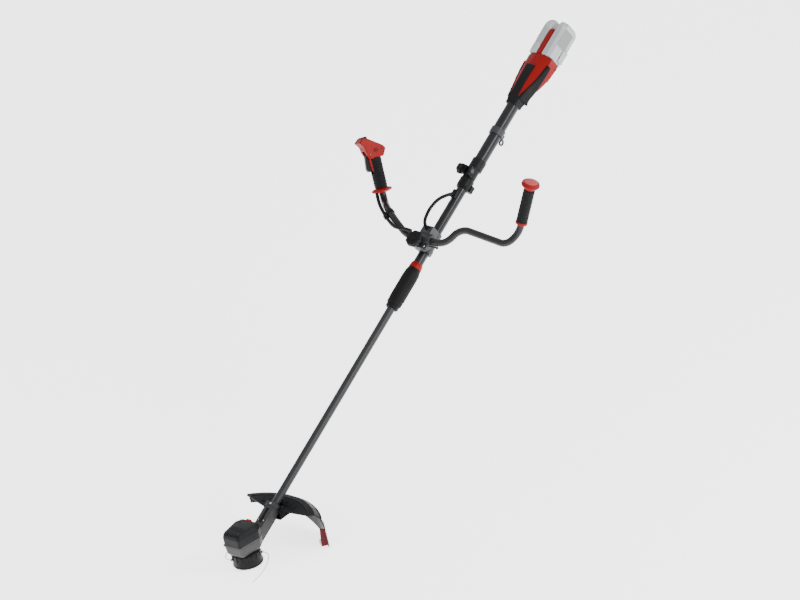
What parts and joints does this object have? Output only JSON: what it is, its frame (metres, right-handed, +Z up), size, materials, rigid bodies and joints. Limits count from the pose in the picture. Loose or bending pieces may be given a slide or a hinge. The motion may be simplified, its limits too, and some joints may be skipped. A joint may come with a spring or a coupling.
{
  "type": "string trimmer",
  "caption": "Cordless string trimmer with a telescopic shaft, bicycle handlebar, trigger handle, guard, bump-feed line spool and slide-in battery packs.",
  "frame": {"origin": "spool axis at the underside of the bump knob, where the trimmer touches the ground", "axes": "+Z up along the spool axis, normal to the cutting plane; +Y rearwards along the shaft to the operator; +X to the operator's left, the plain grip side"},
  "size_m": [0.7114, 1.8511, 0.94],
  "materials": {
    "cast_grey": "satin",
    "cast_silver": "satin",
    "cast_dark": "satin",
    "bar_black": "satin",
    "tube_dark": "satin",
    "tube_grey": "satin",
    "red_plastic": "satin",
    "dark_red_plastic": "matte",
    "black_plastic": "matte",
    "guard_black": "matte",
    "rubber_black": "matte",
    "lead_black": "matte",
    "steel": "satin",
    "board_green": "matte",
    "pack_pale": "satin",
    "nylon_line": "satin"
  },
  "bodies": {
    "shaft": {"middle_tube": "tube_dark", "upper_tube": "tube_dark", "sleeve_ring": "red_plastic", "clamp_base": "cast_silver", "clamp_cap": "cast_dark", "coupling_lower_collar": "black_plastic", "coupling_body": "black_plastic", "coupling_upper_collar": "black_plastic", "harness_collar": "cast_dark", "housing_shell_left": "red_plastic", "housing_shell_right": "red_plastic", "housing_neck": "black_plastic", "top_panel": "black_plastic", "side_grip_panels": "rubber_black", "battery_fin": "red_plastic", "control_board": "board_green", "shaft_lead": "lead_black", "tube_grommet": "rubber_black"},
    "sleeve": {"lock_sleeve": "rubber_black"},
    "lower_shaft": {"lower_tube": "tube_grey", "lock_collet": "black_plastic", "arm": "cast_grey", "head_housing": "cast_grey", "head_cover": "black_plastic", "stator": "cast_dark", "bearings": "steel", "guard": "guard_black", "guard_end_piece": "dark_red_plastic", "line_cutter": "steel"},
    "spool_drive": {"motor_rotor": "steel", "spool_housing": "black_plastic", "spool_cap": "black_plastic", "spool_reel": "black_plastic", "wound_line": "nylon_line", "bump_spring": "steel", "line_end_front": "nylon_line", "line_end_rear": "nylon_line"},
    "bump_feed": {"bump_knob": "black_plastic"},
    "spindle_lock": {"spindle_lock_button": "red_plastic"},
    "handlebar": {"bar_trigger_side": "bar_black", "bar_plain_side": "bar_black", "grip_ring": "red_plastic", "plain_grip": "rubber_black", "grip_end_knob": "red_plastic", "handle_flange": "red_plastic", "handle_grip": "rubber_black", "handle_shell": "red_plastic", "trigger_pin": "steel", "microswitch": "black_plastic", "handle_lead": "lead_black", "lead_clip": "black_plastic"},
    "trigger_lever": {"trigger": "black_plastic"},
    "lockoff": {"lockoff_button": "black_plastic"},
    "mode": {"mode_button": "dark_red_plastic"},
    "bar_knob": {"clamp_knob": "black_plastic"},
    "coupling_knob": {"star_knob": "black_plastic"},
    "pack_left": {"battery_pack_left": "pack_pale"},
    "pack_right": {"battery_pack_right": "pack_pale"},
    "latch_left": {"pack_latch_left": "pack_pale"},
    "latch_right": {"pack_latch_right": "pack_pale"}
  },
  "joints": [
    {"name": "telescope_slide", "type": "slide", "parent": "shaft", "child": "lower_shaft", "axis": [0, 0.891, 0.454], "range_m": [0, 0.12]},
    {"name": "sleeve_twist", "type": "hinge", "parent": "shaft", "child": "sleeve", "pos_m": [0, 0.85537, 0.47283], "axis": [0, 0.891, 0.454], "range_deg": [0, 90]},
    {"name": "spool_spin", "type": "hinge", "parent": "lower_shaft", "child": "spool_drive", "pos_m": [0, 0, 0], "axis": [0, 0, 1], "continuous": true},
    {"name": "bump_press", "type": "slide", "parent": "spool_drive", "child": "bump_feed", "axis": [0, 0, 1], "range_m": [0, 0.005], "stiffness_N_per_m": 800, "deforming": ["bump_spring"]},
    {"name": "spindle_lock_press", "type": "slide", "parent": "lower_shaft", "child": "spindle_lock", "axis": [0, 0, -1], "range_m": [0, 0.004], "stiffness_N_per_m": 600},
    {"name": "handlebar_tilt", "type": "hinge", "parent": "shaft", "child": "handlebar", "pos_m": [0, 0.98873, 0.57894], "axis": [1, 0, 0], "range_deg": [-15, 15]},
    {"name": "trigger_pull", "type": "hinge", "parent": "handlebar", "child": "trigger_lever", "pos_m": [-0.27603, 1.0991, 0.75674], "axis": [0.919, -0.179, 0.3513], "range_deg": [0, 7], "stiffness_Nm_per_rad": 1},
    {"name": "lockoff_press", "type": "slide", "parent": "handlebar", "child": "lockoff", "axis": [0.2976, -0.2696, -0.9159], "range_m": [0, 0.003], "stiffness_N_per_m": 600},
    {"name": "mode_press", "type": "slide", "parent": "handlebar", "child": "mode", "axis": [-0.919, 0.179, -0.3513], "range_m": [0, 0.002], "stiffness_N_per_m": 600},
    {"name": "clamp_knob_turn", "type": "hinge", "parent": "shaft", "child": "bar_knob", "pos_m": [0, 0.95731, 0.59436], "axis": [0, -0.454, 0.891], "range_deg": [0, 360]},
    {"name": "star_knob_turn", "type": "hinge", "parent": "shaft", "child": "coupling_knob", "pos_m": [-0.019, 1.23052, 0.68811], "axis": [-1, 0, 0], "range_deg": [0, 360]},
    {"name": "pack_left_slide", "type": "slide", "parent": "shaft", "child": "pack_left", "axis": [0, 0.891, 0.454], "range_m": [0, 0.09]},
    {"name": "pack_right_slide", "type": "slide", "parent": "shaft", "child": "pack_right", "axis": [0, 0.891, 0.454], "range_m": [0, 0.09]},
    {"name": "latch_left_press", "type": "slide", "parent": "pack_left", "child": "latch_left", "axis": [-1, 0, 0], "range_m": [0, 0.002], "stiffness_N_per_m": 600},
    {"name": "latch_right_press", "type": "slide", "parent": "pack_right", "child": "latch_right", "axis": [1, 0, 0], "range_m": [0, 0.002], "stiffness_N_per_m": 600}
  ]
}
